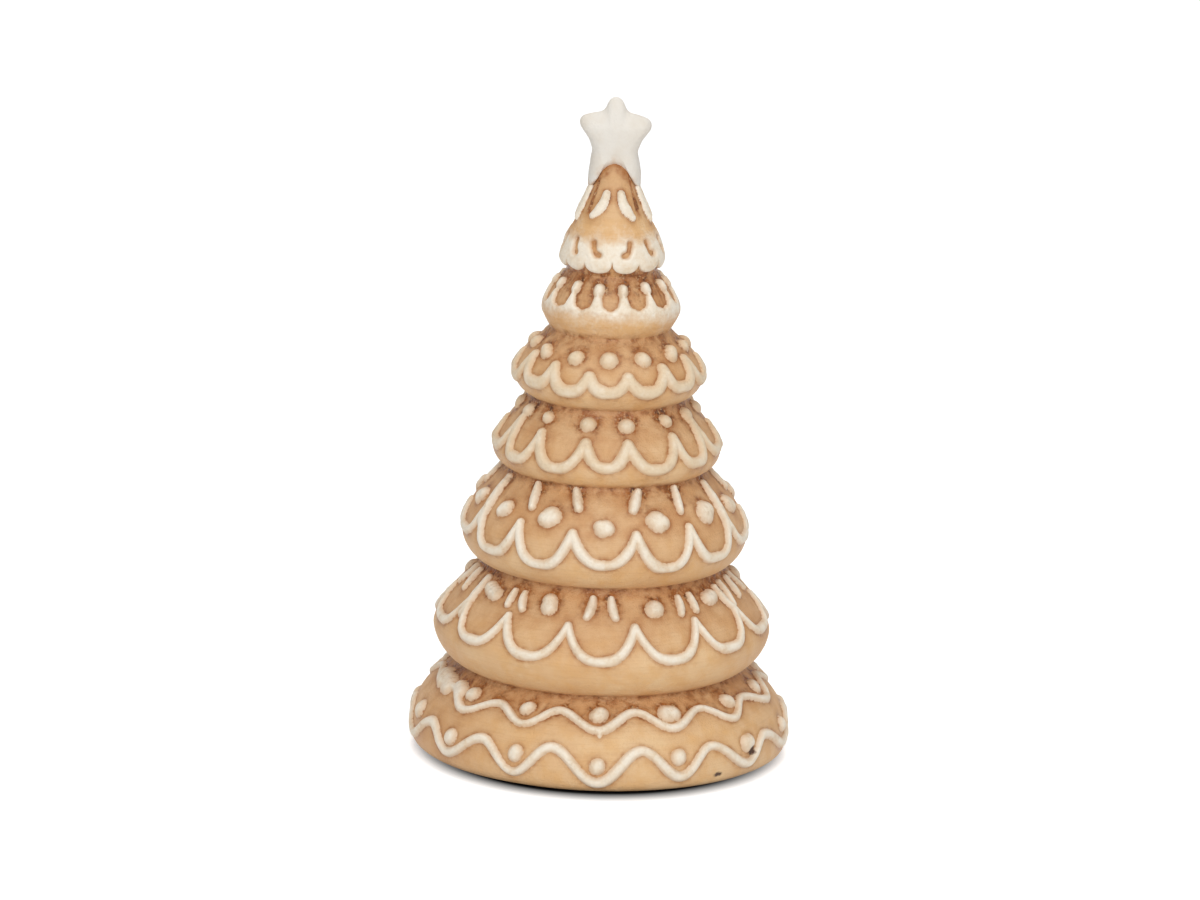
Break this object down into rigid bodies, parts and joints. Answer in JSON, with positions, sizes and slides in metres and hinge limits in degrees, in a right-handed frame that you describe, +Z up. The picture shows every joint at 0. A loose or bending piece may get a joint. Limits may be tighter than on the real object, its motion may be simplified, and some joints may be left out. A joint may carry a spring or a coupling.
{
  "type": "christmas tree ornament",
  "caption": "Tiered table-top Christmas tree in gingerbread style, with piped icing waves, scallops and pearls, and a star pegged into its tip.",
  "frame": {"origin": "middle of the resting face, on the axis of the tree", "axes": "+Z up along the axis of the tree to the star, -Y the front that the star faces, +X to the right"},
  "size_m": [0.101, 0.1022, 0.1743],
  "materials": {
    "gingerbread": "cast filled resin, painted tan, stained brown in the hollows and wiped, satin",
    "icing": "cream paint on the raised lines, soft satin, stain along the edges",
    "star_icing": "off-white paint, soft satin, faint stain at the legs",
    "plate": "unpainted cast plate, matte",
    "felt": "dark brown wool felt"
  },
  "bodies": {
    "root": {"tree_body": "gingerbread", "icing_foot_lower_wave": "icing", "icing_foot_upper_wave": "icing", "icing_tier_2_scallops": "icing", "icing_tier_3_scallops": "icing", "icing_tier_4_scallops": "icing", "icing_tier_5_scallops": "icing", "icing_tier_6_teardrops": "icing", "icing_tier_7_scallops": "icing", "star": "star_icing", "closing_plate": "plate", "felt_disc": "felt"}
  },
  "joints": []
}
